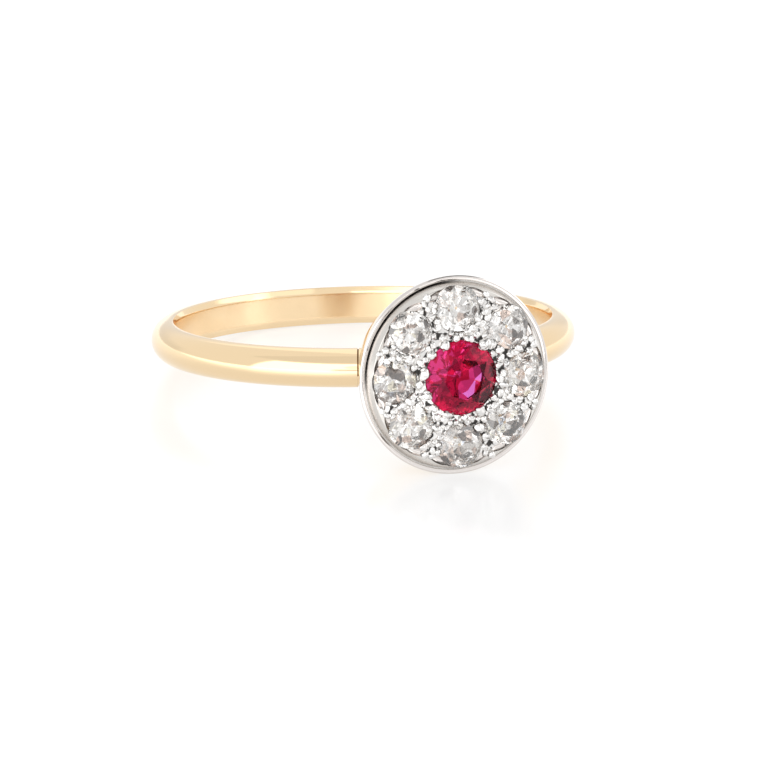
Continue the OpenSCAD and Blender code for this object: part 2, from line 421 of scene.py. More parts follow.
def add_painted_light_patch(tree, shader, cells, colour, centre, reach_mm, zone_colour):
    """Gives another colour to the cells whose own points lie near a place."""
    away = vector_maths(tree, "DISTANCE", cells.outputs["Position"], tuple(centre))
    near = maths(tree, "LESS_THAN", away, reach_mm * MM)
    tree.links.new(blend(tree, near, colour, zone_colour), shader.inputs["Base Color"])


RUBY_INDEX = 1.77
RUBY_CELL_MM = 0.7
RUBY_COLOURS = [(0.45, "#A80A2F"), (0.32, "#6A0620"), (0.23, "#BC1240")]
RUBY, ruby_tree, ruby_shader, ruby_cells, ruby_ramp = make_stone(
    "ruby_crystal", RUBY_INDEX, RUBY_COLOURS, RUBY_CELL_MM)
# Painted reflection: the cells round this spot turn pink, for light the facets send back through the table
PINK_GLOW_SPOT = Vector((0.28, -0.05, ruby_place["centre"].z))
PINK_GLOW_REACH_MM = 0.95
add_painted_light_patch(ruby_tree, ruby_shader, ruby_cells, ruby_ramp.outputs["Color"], HEAD_FRAME @ PINK_GLOW_SPOT,
         PINK_GLOW_REACH_MM, "#F07CD6")
# The light that leaves a ruby drowns the white reflections on its facets, so those are tinted too
ruby_shader.inputs["Specular Tint"].default_value = linear("#C86A84")
DIAMOND_INDEX = 2.417
DIAMOND_CELL_MM = 0.36
# Painted reflections: near-black and grey cells stand for dark reflections, blue and yellow for split
# light
DIAMOND_COLOURS = [(0.3, "#DAD8D5"), (0.22, "#A09A94"), (0.24, "#F8F7F6"), (0.07, "#957868"),
                   (0.02, "#BCC8E0"), (0.03, "#DED5B5"), (0.14, "#1C1410")]
DIAMOND = make_stone("diamond_crystal", DIAMOND_INDEX, DIAMOND_COLOURS, DIAMOND_CELL_MM)[0]
for name in ["ruby"] + SIDE_STONES:
    finish = RUBY if name == "ruby" else DIAMOND
    for stone_slot in nodes[name].material_slots:
        stone_slot.material = finish
print("stones:", len(SIDE_STONES) + 1, "with", RUBY.name, "or", DIAMOND.name)

# %% [markdown]
# ## The band
#
# The band is round wire with its inside flattened and both edges eased, so that it slides over the
# finger. That is a rule, so Geometry Nodes make it: a circle is the wire's section, every point of it
# that lies inside the flat or the eased edges is moved out to them, and the section is swept along an
# arc. A smooth maximum rounds the edges as a polishing wheel does. The arc stops inside the cup on both
# sides.

# %% Band by Geometry Nodes
BAND_T = 1.1
BAND_W = 1.75
BAND_FLAT_W = 1.2
BAND_EASE = 0.1
BAND_GAP = math.radians(40)
WIRE_R = BAND_W / 2
WIRE_CENTRE_R = FINGER_R + BAND_T - WIRE_R
EASE_SLOPE = 2 * BAND_EASE / (BAND_W - BAND_FLAT_W)
FLAT_BLEND = 0.04
EDGE_BLEND = 0.05
SECTION_STEPS = 256
BAND_STEPS = 240
INSIDE_MARGIN = 0.004


def new_tree(name, inputs):
    """A Geometry Nodes tree with inputs from (name, kind) pairs, and its input and output nodes."""
    tree = bpy.data.node_groups.new(name, "GeometryNodeTree")
    tree.interface.new_socket("Geometry", in_out="INPUT", socket_type="NodeSocketGeometry")
    tree.interface.new_socket("Geometry", in_out="OUTPUT", socket_type="NodeSocketGeometry")
    for label, kind in inputs:
        tree.interface.new_socket(label, in_out="INPUT", socket_type=kind)
    return tree, tree.nodes.new("NodeGroupInput"), tree.nodes.new("NodeGroupOutput")


def apply_tree(piece, tree, values):
    """Runs a tree on a piece with its inputs set by identifier, and keeps the result as plain mesh."""
    step = piece.modifiers.new(tree.name, "NODES")
    step.node_group = tree
    identifiers = {item.name: item.identifier for item in tree.interface.items_tree
                   if item.item_type == "SOCKET" and item.in_out == "INPUT"}
    for label, value in values.items():
        step[identifiers[label]] = value
    return settle(piece)


BAND_SIZES = ["Wire radius", "Centreline radius", "Finger radius", "Flat width", "Ease slope",
              "Open angle"]


def band_tree():
    """A wire's section with its inside flattened, swept along an open arc."""
    inputs = [(label, "NodeSocketFloat") for label in BAND_SIZES]
    inputs += [("Inside", "NodeSocketMaterial"), ("Outside", "NodeSocketMaterial")]
    tree, given, out = new_tree("flattened_wire_band", inputs)
    size = given.outputs
    wire = add_node(tree, "GeometryNodeCurvePrimitiveCircle", Resolution=SECTION_STEPS,
                    Radius=size["Wire radius"])
    point = add_node(tree, "GeometryNodeInputPosition").outputs["Position"]
    split = add_node(tree, "ShaderNodeSeparateXYZ", Vector=point)
    flat = maths(tree, "SUBTRACT", size["Finger radius"], size["Centreline radius"])
    half_flat = maths(tree, "MULTIPLY", size["Flat width"], 0.5)
    past_flat = maths(tree, "SUBTRACT", maths(tree, "ABSOLUTE", split.outputs["Y"]), half_flat)
    ease = maths(tree, "ADD", flat, maths(tree, "MULTIPLY", past_flat, size["Ease slope"]))
    inner = maths(tree, "SMOOTH_MAX", flat, ease, FLAT_BLEND)
    held = maths(tree, "SMOOTH_MAX", split.outputs["X"], inner, EDGE_BLEND)
    moved = add_node(tree, "ShaderNodeCombineXYZ", X=held, Y=split.outputs["Y"])
    section = add_node(tree, "GeometryNodeSetPosition", Geometry=wire.outputs["Curve"],
                       Position=moved.outputs["Vector"])
    start = maths(tree, "SUBTRACT", maths(tree, "MULTIPLY", size["Open angle"], 0.5), math.pi / 2)
    sweep = maths(tree, "SUBTRACT", 2 * math.pi, size["Open angle"])
    path = add_node(tree, "GeometryNodeCurveArc", Resolution=BAND_STEPS, Radius=size["Centreline radius"],
                    Start_Angle=start, Sweep_Angle=sweep)
    swept = add_node(tree, "GeometryNodeCurveToMesh", Curve=path.outputs["Curve"],
                     Profile_Curve=section.outputs["Geometry"], Fill_Caps=True)
    outside = add_node(tree, "GeometryNodeSetMaterial", Geometry=swept.outputs["Mesh"],
                       Material=size["Outside"])
    flat_point = vector_maths(tree, "MULTIPLY", point, (1, 1, 0), "Vector")
    reach = vector_maths(tree, "DISTANCE", flat_point, (0, 0, 0))
    is_inside = maths(tree, "LESS_THAN", reach, maths(tree, "ADD", size["Finger radius"], INSIDE_MARGIN))
    inside = add_node(tree, "GeometryNodeSetMaterial", Geometry=outside.outputs["Geometry"],
                      Selection=is_inside, Material=size["Inside"])
    tree.links.new(inside.outputs["Geometry"], out.inputs["Geometry"])
    return tree


BAND_TREE = band_tree()


def make_band(name, slimmer=0):
    """The band in the shared frame, or a slimmer core of it."""
    band = mesh_object(name, [], [], Matrix.Identity(4))
    apply_tree(band, BAND_TREE, {"Wire radius": WIRE_R - slimmer, "Centreline radius": WIRE_CENTRE_R,
                                 "Finger radius": FINGER_R + slimmer, "Flat width": BAND_FLAT_W,
                                 "Ease slope": EASE_SLOPE, "Open angle": BAND_GAP, "Inside": WORN_GOLD,
                                 "Outside": POLISHED_GOLD})
    band.data.transform(FINGER_FRAME)
    return band


gold = make_band("gold_mount")
print("band faces:", len(gold.data.polygons), [m.name for m in gold.data.materials])

# %% [markdown]
# ## The solder seams
#
# Where a band is soldered to its head, the file leaves a fine step, and it shows as a dark line across
# the band. A thin slab stands across the band on each side. A slimmer core of the band is taken out of
# the slabs, so what is left of them cuts only the skin of the band.

# %% File the seams
SEAM_ANGLE = math.radians(21.15)
SEAM_W = 0.07
SEAM_DEPTH = 0.05
SEAM_CLEAN_Z = -0.25
SEAM_MARGIN = 0.001
SLAB_REACH = 0.3
slab_points = []
slab_faces = []
for side in (-1, 1):
    first = len(slab_points)
    for r in (FINGER_R - SLAB_REACH, FINGER_R + BAND_T + SLAB_REACH):
        for turn in (SEAM_ANGLE - SEAM_W / 2 / r, SEAM_ANGLE + SEAM_W / 2 / r):
            for z in (-BAND_W, BAND_W):
                slab_points.append((side * r * math.sin(turn), -r * math.cos(turn), z))
    for box_face in ((0, 1, 3, 2), (4, 5, 7, 6), (0, 1, 5, 4), (2, 3, 7, 6), (0, 2, 6, 4), (1, 3, 7, 5)):
        slab_faces.append([first + k for k in box_face])
seams = mesh_object("seams", slab_points, slab_faces, FINGER_FRAME)
combine(seams, [make_band("core", SEAM_DEPTH)], "DIFFERENCE")
combine(gold, [seams], "DIFFERENCE")
gold.data.materials.append(GRIMY_GOLD)
to_finger = FINGER_FRAME.inverted()
for face in gold.data.polygons:
    spot = to_finger @ face.center
    off_seam = abs(abs(math.atan2(spot.x, -spot.y)) - SEAM_ANGLE) * math.hypot(spot.x, spot.y)
    if off_seam < SEAM_W / 2 + SEAM_MARGIN and spot.z > SEAM_CLEAN_Z:
        face.material_index = len(gold.data.materials) - 1
print("seams cut, faces:", len(gold.data.polygons))

# %% [markdown]
# ## The cup
#
# The cup is a cone with a thick pierced plate at its top, and its open end is cut to the curve of the
# finger. The holes behind the stones let light through. It is turned as one profile, and then a cylinder
# round the finger's axis cuts the saddle.

# %% Turn the cup
RIM_R = 4.42
FLANGE_Z = -0.32
GAP = 0.02
CUP_TOP_R = 4.37
CUP_TOP_Z = FLANGE_Z - GAP
CUP_SLOPE = math.tan(math.radians(20))
CUP_WALL = 0.35
CUP_PLATE_T = 0.3
CUP_PLATE_Z = CUP_TOP_Z - CUP_PLATE_T
BOSS_R = 3.68
BOSS_Z = 0.08
CUP_BACK_SHARE = 0.86
CUP_BACK_Z = CUP_BACK_SHARE * FINGER_R - RIM_PLANE
SADDLE_GAP = 0.2
SADDLE_HALF = 6
TURN_STEPS = 256
HOLE_STEPS = 96
SADDLE_STEPS = 512


def cup_r(z):
    """Outer radius of the cup's cone at a height below the rim."""
    return CUP_TOP_R - (CUP_TOP_Z - z) * CUP_SLOPE


hollow_top_r = cup_r(CUP_PLATE_Z) - CUP_WALL
hollow_back_r = cup_r(CUP_BACK_Z) - CUP_WALL
cup_profile = rounded([(0, BOSS_Z, 0), (BOSS_R - GAP, BOSS_Z, 0.02), (BOSS_R - GAP, CUP_TOP_Z, 0),
                       (CUP_TOP_R, CUP_TOP_Z, 0.04), (cup_r(CUP_BACK_Z), CUP_BACK_Z, 0),
                       (hollow_back_r, CUP_BACK_Z, 0), (hollow_top_r, CUP_PLATE_Z, 0.08),
                       (0, CUP_PLATE_Z, 0)])
cup = mesh_object("cup", *turned(cup_profile, TURN_STEPS), HEAD_FRAME)
saddle_r = FINGER_R + SADDLE_GAP
saddle_profile = [(0, -SADDLE_HALF), (saddle_r, -SADDLE_HALF), (saddle_r, SADDLE_HALF), (0, SADDLE_HALF)]
saddle = mesh_object("saddle", *turned(saddle_profile, SADDLE_STEPS), FINGER_FRAME)
HOLE_SHARE = 0.6
RUBY_HOLE_Z = -1.6
SIDE_HOLE_Z = -1.5
HOLE_TOP_Z = 0.2
holes = []
for place in all_places:
    r = place["r"] * HOLE_SHARE
    bottom = RUBY_HOLE_Z if place is ruby_place else SIDE_HOLE_Z
    hole_profile = [(0, bottom), (r, bottom), (r, HOLE_TOP_Z), (0, HOLE_TOP_Z)]
    holes.append(mesh_object("hole", *turned(hole_profile, HOLE_STEPS), place_matrix(place)))
combine(cup, [saddle] + holes, "DIFFERENCE")
print("cup faces:", len(cup.data.polygons))

# %% [markdown]
# ## Joining the band and the cup
#
# The ends of the band reach into the cup, so they are cut off where it is hollow. Then both become one
# solid, as soldered gold does. The outside is polished, and the inside keeps the skin of the casting.

# %% Join the band and the cup
HOLLOW_REACH = 2
# Faces further in than this share of the wall belong to the cup's inside
INSIDE_SHARE = 0.8
hollow_end = CUP_BACK_Z - HOLLOW_REACH
hollow_profile = [(0, hollow_end), (cup_r(hollow_end) - CUP_WALL, hollow_end),
                  (hollow_top_r, CUP_PLATE_Z), (0, CUP_PLATE_Z)]
hollow = mesh_object("hollow", *turned(hollow_profile, TURN_STEPS), HEAD_FRAME)
combine(gold, [hollow], "DIFFERENCE")
combine(gold, [cup], "UNION")
fill_empty_finishes(gold, POLISHED_GOLD)
gold.data.materials.append(CAST_GOLD)
for face in gold.data.polygons:
    spot = to_head @ face.center
    reach = math.hypot(spot.x, spot.y)
    if reach < cup_r(spot.z) - INSIDE_SHARE * CUP_WALL and CUP_BACK_Z < spot.z < 0:
        face.material_index = len(gold.data.materials) - 1
smooth(gold, 32)
print("gold faces:", len(gold.data.polygons), [m.name for m in gold.data.materials])
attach(gold, "root")
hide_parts("band")

# %% [markdown]
# ## Platinum
#
# The top is platinum, chosen because it keeps the stones' light white. The rim was burnished bright with
# a smooth steel tool. Between the stones the metal was cut with a graver and pushed up into beads, so
# its surface is uneven at the scale of the tool. Shade is painted into the low places, in patches, so the
# darkening follows the height above the domed platform, and each bright bead stands in a painted dark
# ring. The groove inside the rim gets the darkest painted shade, most of all at the upper left.

# %% Platinum finishes
PLATINUM_COLOUR = "#E8E6E4"
# Painted shade: the dark colour laid over the platinum in low places and in the groove
SHADE_COLOUR = "#1A1512"
# The painted shade in the groove is darkest towards this side
SHADED_SIDE = (-0.7, 0, 0.7)
SHADE_FADE_FROM = (5.5, 6.4)
SHADE_RISE = (0.02, 0.08)
SHADE_MOST = 0.95
SHADE_PATCH = 2.5
SHADE_SPAN = (0.49, 0.56)
SHADE_SPECULAR = 0.1
GRAVER_MM = 0.1
PLATFORM_R = 3.98
PLATFORM_EDGE_Z = 0.45
PLATFORM_MID_Z = 0.8
platform_rise = PLATFORM_MID_Z - PLATFORM_EDGE_Z
DOME_R = (PLATFORM_R ** 2 + platform_rise ** 2) / (2 * platform_rise)


def paint_shade(tree, shader, amount):
    """Paints shade over the metal as a dark colour, which is no metal itself, by an amount from a socket.
    """
    tree.links.new(blend(tree, amount, PLATINUM_COLOUR, SHADE_COLOUR), shader.inputs["Base Color"])
    tree.links.new(maths(tree, "SUBTRACT", 1.0, amount), shader.inputs["Metallic"])
    # The painted shade is dull, and this socket only reaches what isn't metal
    shader.inputs["Specular IOR Level"].default_value = SHADE_SPECULAR


def make_shaded_bead_platinum():
    """Painted shade round the foot of each bead, in patches, gives the eye dark points between bright
    ones.
    """
    material, tree, shader, place = make_metal("graver_cut_platinum", PLATINUM_COLOUR, GRAVER_MM,
                                               0.3, 0.04, 0.12)
    dome_middle = HEAD_FRAME @ Vector((0, 0, PLATFORM_MID_Z - DOME_R))
    away = vector_maths(tree, "DISTANCE", place, tuple(dome_middle))
    # Painted shade: darker the nearer a point lies to the domed platform, so the gaps between beads go
    # dark
    low = fade(tree, away, (DOME_R + SHADE_RISE[0]) * MM, (DOME_R + SHADE_RISE[1]) * MM, SHADE_MOST, 0.0)
    patches = add_node(tree, "ShaderNodeTexNoise", Vector=place, Detail=2.0,
                       Scale=1 / (SHADE_PATCH * GRAVER_MM * MM))
    kept = fade(tree, patches.outputs["Fac"], *SHADE_SPAN)
    paint_shade(tree, shader, maths(tree, "MULTIPLY", low, kept))
    return material


def make_shaded_groove_platinum():
    """Painted shade in the groove and the cuts, which fades away from the upper left."""
    material, tree, shader, place = make_metal("groove_platinum_painted_shade", PLATINUM_COLOUR, GRAVER_MM,
                                               0.1, 0.25, 0.4)
    toward = vector_maths(tree, "DOT_PRODUCT", place, SHADED_SIDE)
    paint_shade(tree, shader, fade(tree, toward, SHADE_FADE_FROM[0] * MM, SHADE_FADE_FROM[1] * MM))
    return material


PLATINUM = make_metal("burnished_platinum", "#E3DDD9", GRAVER_MM, 0.05, 0.03, 0.1)[0]
TURNED_PLATINUM = make_metal("turned_platinum", "#DAD6D1", GRAVER_MM, 0.2, 0.2, 0.32)[0]
BEAD_PLATINUM = make_shaded_bead_platinum()
SHADED_GROOVE_PLATINUM = make_shaded_groove_platinum()
TOP_FINISHES = (PLATINUM, TURNED_PLATINUM, BEAD_PLATINUM, SHADED_GROOVE_PLATINUM)
print("platinum finishes:", [m.name for m in TOP_FINISHES])

# %% [markdown]
# ## The platinum top
#
# The top is turned first, as one profile: a rim with a slightly rounded flat, a V-shaped groove and a
# domed platform. The groove's profile has one more point, where the painted shade in it ends.

# %% Turn the top
RIM_W = 0.2
GROOVE_R = 4.175
GROOVE_Z = -0.13
# Where the painted shade in the groove ends
SHADE_LINE_Z = -0.07
TOP_UNDER_Z = 0.1
DOME_STEPS = 24
TOP_STEPS = 360


def dome_z(r):
    """Height of the platform's surface above the rim."""
    return PLATFORM_MID_Z - DOME_R + math.sqrt(DOME_R ** 2 - r ** 2)


def flank_r(z):
    """Radius of the platform's side, which leans in from the groove to the platform's edge."""
    return GROOVE_R - (GROOVE_R - PLATFORM_R) * (z - GROOVE_Z) / (PLATFORM_EDGE_Z - GROOVE_Z)


def on_dome(angle, r, lift=0):
    """A point on the platform's surface or a little above it, in the head's frame."""
    return Vector((r * math.cos(angle), r * math.sin(angle), dome_z(r) + lift))


space_turns = []
for i, place in enumerate(side_places):
    a = math.atan2(place["centre"].y, place["centre"].x)
    following = side_places[(i + 1) % len(side_places)]["centre"]
    b = math.atan2(following.y, following.x)
    space_turns.append(a + ((b - a) % (2 * math.pi)) / 2)

dome_rings = [PLATFORM_R * (1 - k / DOME_STEPS) for k in range(1, DOME_STEPS)]
top_profile = rounded([(0, TOP_UNDER_Z, 0), (BOSS_R, TOP_UNDER_Z, 0), (BOSS_R, FLANGE_Z, 0),
                       (RIM_R - 0.04, FLANGE_Z, 0.03), (RIM_R, -0.04, 0.02), (RIM_R - 0.05, -0.008, 0.03),
                       (RIM_R - RIM_W / 2, 0, 0.1), (RIM_R - RIM_W, -0.014, 0.03),
                       (GROOVE_R, GROOVE_Z, 0.015), (flank_r(SHADE_LINE_Z), SHADE_LINE_Z, 0),
                       (PLATFORM_R, PLATFORM_EDGE_Z, 0.05)]
                      + [(r, dome_z(r), 0) for r in dome_rings] + [(0, PLATFORM_MID_Z, 0)])
top = mesh_object("platinum_top", *turned(top_profile, TOP_STEPS), HEAD_FRAME)

# %% [markdown]
# ## Seats and bright cuts
#
# Each stone's seat is cut into the platform, with a step for its girdle and a cone below. A graver's
# bright cut, shaped like a leaf, opens the metal on both sides of each space near the rim. The leaves
# are flat balls, taken out of the platform.

# %% Cut the seats and the leaves
SEAT_GAP = 0.006
SEAT_SLOPE = 0.8
SEAT_BOTTOM_Z = -1.6
SEAT_ROOM = 0.5
SEAT_STEPS = 128
GIRDLE_HALF = 0.05
seats = []
for place in all_places:
    r = place["r"] + SEAT_GAP
    hole_r = place["r"] * HOLE_SHARE
    hole_z = -GIRDLE_HALF - (r - hole_r) * SEAT_SLOPE
    seat_top = GIRDLE_HALF + SEAT_ROOM
    seat_profile = [(0, SEAT_BOTTOM_Z), (hole_r, SEAT_BOTTOM_Z), (hole_r, hole_z), (r, -GIRDLE_HALF),
                    (r, seat_top), (0, seat_top)]
    seats.append(mesh_object("seat", *turned(seat_profile, SEAT_STEPS), place_matrix(place)))

LEAF_R = 3.78
LEAF_TURN = math.radians(9)
LEAF_SIZE = Vector((0.5, 0.17, 0.14))
LEAF_LEAN = 0.2
leaf_spots = []
leaves = []
for turn in space_turns:
    for side in (-1, 1):
        a = turn + side * LEAF_TURN
        leaf_spots.append(on_dome(a, LEAF_R))
        leaf_turn = Matrix.Rotation(a + math.pi / 2 - side * LEAF_LEAN, 4, "Z")
        leaf_matrix = Matrix.Translation(leaf_spots[-1]) @ leaf_turn @ Matrix.Diagonal(LEAF_SIZE).to_4x4()
        ball = bmesh.new()
        bmesh.ops.create_icosphere(ball, subdivisions=3, radius=1, matrix=leaf_matrix)
        leaves.append(mesh_object("leaf", [v.co.copy() for v in ball.verts],
                                  [[v.index for v in f.verts] for f in ball.faces], HEAD_FRAME))
        ball.free()
combine(top, seats + leaves, "DIFFERENCE")
print("seats and leaf cuts:", len(seats), "and", len(leaf_spots))

# %% [markdown]
# ## Which finish goes where
#
# One solid carries four finishes, because the goldsmith works each surface in its own way. A face's
# middle tells which it has: bright rim and leaves, turned groove side and lip, graver-cut platform and
# seats, and the groove bottom with painted shade.

# %% Finish each face of the top
LIP_R = 3.72
SKIN = 0.015
SEAT_SKIN = 0.03
SEAT_LOW = -0.07
EDGE_MARGIN = 0.02
RIM_MARGIN = 0.005
SHADE_MARGIN = 0.01


def top_finish(spot):
    """Which finish a face has, from its middle in the head's frame."""
    reach = math.hypot(spot.x, spot.y)
    if reach < PLATFORM_R - EDGE_MARGIN:
        if spot.z > dome_z(reach) - SKIN:
            return TURNED_PLATINUM if reach > LIP_R else BEAD_PLATINUM
        for place in all_places:
            away = spot - place["centre"]
            if away.length < place["r"] + SEAT_SKIN and away.dot(place["axis"]) > SEAT_LOW:
                return BEAD_PLATINUM
        in_leaf = any((spot - leaf).length < LEAF_SIZE.x for leaf in leaf_spots)
        return PLATINUM if in_leaf else SHADED_GROOVE_PLATINUM
    if spot.z < FLANGE_Z + EDGE_MARGIN or reach > RIM_R - RIM_W - RIM_MARGIN:
        return PLATINUM
    return SHADED_GROOVE_PLATINUM if spot.z < SHADE_LINE_Z + SHADE_MARGIN else TURNED_PLATINUM


top.data.materials.clear()
for finish in TOP_FINISHES:
    top.data.materials.append(finish)
for face in top.data.polygons:
    face.material_index = TOP_FINISHES.index(top_finish(to_head @ face.center))
smooth(top, 30)
print("top faces:", len(top.data.polygons))

# %% [markdown]
# ## The grains
#
# A grain is a bead of metal raised by the graver and rounded with a hollow punch. Six larger ones sit in
# each space between two side stones, and a ring of them grips the edge of the ruby, which is why its
# outline looks scalloped. Their places are given in the head's frame, as turn and distance from its
# axis.

# %% Where the grains go
GRAIN_MM = 0.4
# Turn from the middle of the space in degrees, distance from the head's axis, share of the size
GRAIN_ROWS = [(0, 2.00, 0.95), (0, 2.52, 1.05), (0.5, 3.04, 0.78), (-6, 3.42, 0.85), (6, 3.46, 0.80),
              (22, 1.88, 0.62)]
# Turn in degrees, distance from the head's axis, radius of each grain that grips the ruby
RUBY_GRIP = [(14, 1.80, 0.20), (33, 1.76, 0.20), (52, 1.78, 0.29), (78, 1.74, 0.23), (97, 1.78, 0.20),
             (117, 1.66, 0.25), (141, 1.76, 0.22), (171, 1.75, 0.26), (203, 1.71, 0.24), (225, 1.78, 0.20),
             (247, 1.71, 0.24), (272, 1.78, 0.21), (299, 1.73, 0.25), (326, 1.79, 0.20), (354, 1.76, 0.21)]
GRAIN_SINK = 0.1
RUBY_GRIP_RISE = 0.25
grain_spots = []
for turn in space_turns:
    for offset, r, share in GRAIN_ROWS:
        size = GRAIN_MM / 2 * share
        grain_spots.append((on_dome(turn + math.radians(offset), r, -GRAIN_SINK * size), size))
for degrees, r, size in RUBY_GRIP:
    grain_spots.append((on_dome(math.radians(degrees), r, RUBY_GRIP_RISE * size), size))
print("grains in rows:", len(grain_spots))

# %% [markdown]
# ## Smaller grains by chance
#
# Smaller beads grip the side stones at uneven turns, and uneven ones fill what is left of the platform.
# A filler is dropped where it would lie on a stone, on a bright cut or too near another bead. The fixed
# seed gives the same beads each time.

# %% Where the smaller grains go
GRAIN_SEED = 11
SIDE_GRIP = 10
SIDE_GRIP_SHIFT = 0.3
SIDE_GRIP_R = (0.14, 0.22)
SIDE_GRIP_OUT = 0.25
SIDE_GRIP_RISE = 0.1
SIDE_GRIP_SPAN = (1.9, PLATFORM_R - 0.12)
FILLER_TRIES = 6000
FILLER_R = (0.14, 0.25)
FILLER_SPACING = 0.8
FILLER_OVERLAP = 0.08
FILLER_SPAN = (1.6, PLATFORM_R - 0.1)
LEAF_CLEAR = 0.38


def on_leaf(spot):
    """Whether a bead would cover one of the bright cuts."""
    return any((spot - leaf).length < LEAF_CLEAR for leaf in leaf_spots)


chance = np.random.default_rng(GRAIN_SEED)
for place in side_places:
    for k in range(SIDE_GRIP):
        angle = 2 * math.pi * (k + chance.uniform(-SIDE_GRIP_SHIFT, SIDE_GRIP_SHIFT)) / SIDE_GRIP
        size = chance.uniform(*SIDE_GRIP_R)
        outward = Vector((math.cos(angle), math.sin(angle), 0))
        spot = place["centre"] + outward * (place["r"] + SIDE_GRIP_OUT * size)
        reach = spot.xy.length
        if SIDE_GRIP_SPAN[0] < reach < SIDE_GRIP_SPAN[1] and not on_leaf(spot):
            turn = math.atan2(spot.y, spot.x)
            grain_spots.append((on_dome(turn, reach, SIDE_GRIP_RISE * size), size))
filler_spots = []
for _ in range(FILLER_TRIES):
    angle = chance.uniform(0, 2 * math.pi)
    r = math.sqrt(chance.uniform(FILLER_SPAN[0] ** 2, FILLER_SPAN[1] ** 2))
    size = chance.uniform(*FILLER_R)
    spot = on_dome(angle, r)
    near_ruby = spot.xy.length < ruby_place["r"] + size
    on_stone = any((spot - p["centre"]).xy.length < p["r"] - FILLER_OVERLAP + size / 2
                   for p in side_places)
    taken = any((spot - other).length < FILLER_SPACING * (size + wide)
                for other, wide in grain_spots + filler_spots)
    if not (near_ruby or on_stone or taken or on_leaf(spot)):
        filler_spots.append((spot, size))
print("grains:", len(grain_spots), "large and", len(filler_spots), "small")

# %% [markdown]
# ## Making the grains
#
# The grains repeat, so Geometry Nodes set a sphere on each point, read its size from the point, squeeze
# and turn it by chance, and push its surface about a little, because no two beads are alike.

# %% Grains by Geometry Nodes
SQUEEZE_LEAST = (0.75, 0.75, 0.7)
SQUEEZE_MOST = (1.3, 1.3, 1.1)
TILT_MOST = (0.5, 0.5, math.pi)
LUMP_MM = 0.22
LUMP_SHIFT = 0.15


def grain_tree():
    """An uneven sphere on every point, as large as the point's grain_size says."""
    tree, given, out = new_tree("setting_grains", [("Detail", "NodeSocketInt"), ("Seed", "NodeSocketInt"),
                                                   ("Finish", "NodeSocketMaterial")])
    ball = add_node(tree, "GeometryNodeMeshIcoSphere", Radius=1.0, Subdivisions=given.outputs["Detail"])
    size = add_node(tree, "GeometryNodeInputNamedAttribute", {"data_type": "FLOAT"}, Name="grain_size")
    squeeze = add_node(tree, "FunctionNodeRandomValue", {"data_type": "FLOAT_VECTOR"}, Min=SQUEEZE_LEAST,
                       Max=SQUEEZE_MOST, Seed=given.outputs["Seed"])
    turn = add_node(tree, "FunctionNodeRandomValue", {"data_type": "FLOAT_VECTOR"}, Max=TILT_MOST,
                    Min=tuple(-most for most in TILT_MOST), Seed=given.outputs["Seed"])
    scale = vector_maths(tree, "MULTIPLY", squeeze.outputs["Value"], size.outputs["Attribute"], "Vector")
    placed = add_node(tree, "GeometryNodeInstanceOnPoints", Points=given.outputs["Geometry"],
                      Instance=ball.outputs["Mesh"], Rotation=turn.outputs["Value"], Scale=scale)
    solid = add_node(tree, "GeometryNodeRealizeInstances", Geometry=placed.outputs["Instances"])
    point = add_node(tree, "GeometryNodeInputPosition").outputs["Position"]
    lumps = add_node(tree, "ShaderNodeTexNoise", Vector=point, Scale=1 / LUMP_MM, Detail=1.0)
    centred = vector_maths(tree, "SUBTRACT", lumps.outputs["Color"], (0.5, 0.5, 0.5), "Vector")
    shift = add_node(tree, "ShaderNodeVectorMath", {"operation": "SCALE"}, _0=centred, Scale=LUMP_SHIFT)
    uneven = add_node(tree, "GeometryNodeSetPosition", Geometry=solid.outputs["Geometry"],
                      Offset=shift.outputs["Vector"])
    finished = add_node(tree, "GeometryNodeSetMaterial", Geometry=uneven.outputs["Geometry"],
                        Material=given.outputs["Finish"])
    tree.links.new(finished.outputs["Geometry"], out.inputs["Geometry"])
    return tree


# %% [markdown]
# ## Grains that hold the stones
#
# Where a grain is pushed over a stone, it follows the facets, so a turned room for the crown of each
# stone is cut out of it. The room is a hair larger than the stone.

# %% Make the grains and cut them
# Height of the star facets' lower tips, as a share of the crown's height
STAR_HEIGHT = 0.634
# Radius of the table and of the star tips of each cut, as shares of the girdle's radius
CROWN_SHARES = {"ruby": (0.56, 0.78), "diamond": (0.50, 0.74)}
ROOM_DEPTH = 0.5
ROOM_STEPS = 96


def crown_room(place, shares, clearance=0.004):
    """A turned solid that just covers a stone above its girdle."""
    table, star = shares
    crown = place["table"] - GIRDLE_HALF
    r = place["r"]
    top_z = GIRDLE_HALF + crown + clearance
    profile = [(0, -ROOM_DEPTH), (r + clearance, -ROOM_DEPTH), (r + clearance, GIRDLE_HALF + clearance),
               (star * r + clearance, GIRDLE_HALF + STAR_HEIGHT * crown + clearance),
               (table * r + clearance, top_z), (0, top_z)]
    return mesh_object("room", *turned(profile, ROOM_STEPS), place_matrix(place))


def make_grains(name, spots, detail, seed):
    """The grains at some spots, cut clear of the stones."""
    grains = mesh_object(name, [spot for spot, size in spots], [], Matrix.Identity(4))
    sizes = grains.data.attributes.new("grain_size", "FLOAT", "POINT").data
    sizes.foreach_set("value", [size for spot, size in spots])
    apply_tree(grains, grain_tree(), {"Detail": detail, "Seed": seed, "Finish": BEAD_PLATINUM})
    grains.data.transform(HEAD_FRAME)
    rooms = [crown_room(ruby_place, CROWN_SHARES["ruby"])]
    rooms += [crown_room(place, CROWN_SHARES["diamond"]) for place in side_places]
    combine(grains, rooms, "DIFFERENCE")
    fill_empty_finishes(grains, BEAD_PLATINUM)
    smooth(grains, 50)
    print(name, "faces:", len(grains.data.polygons))
    return grains


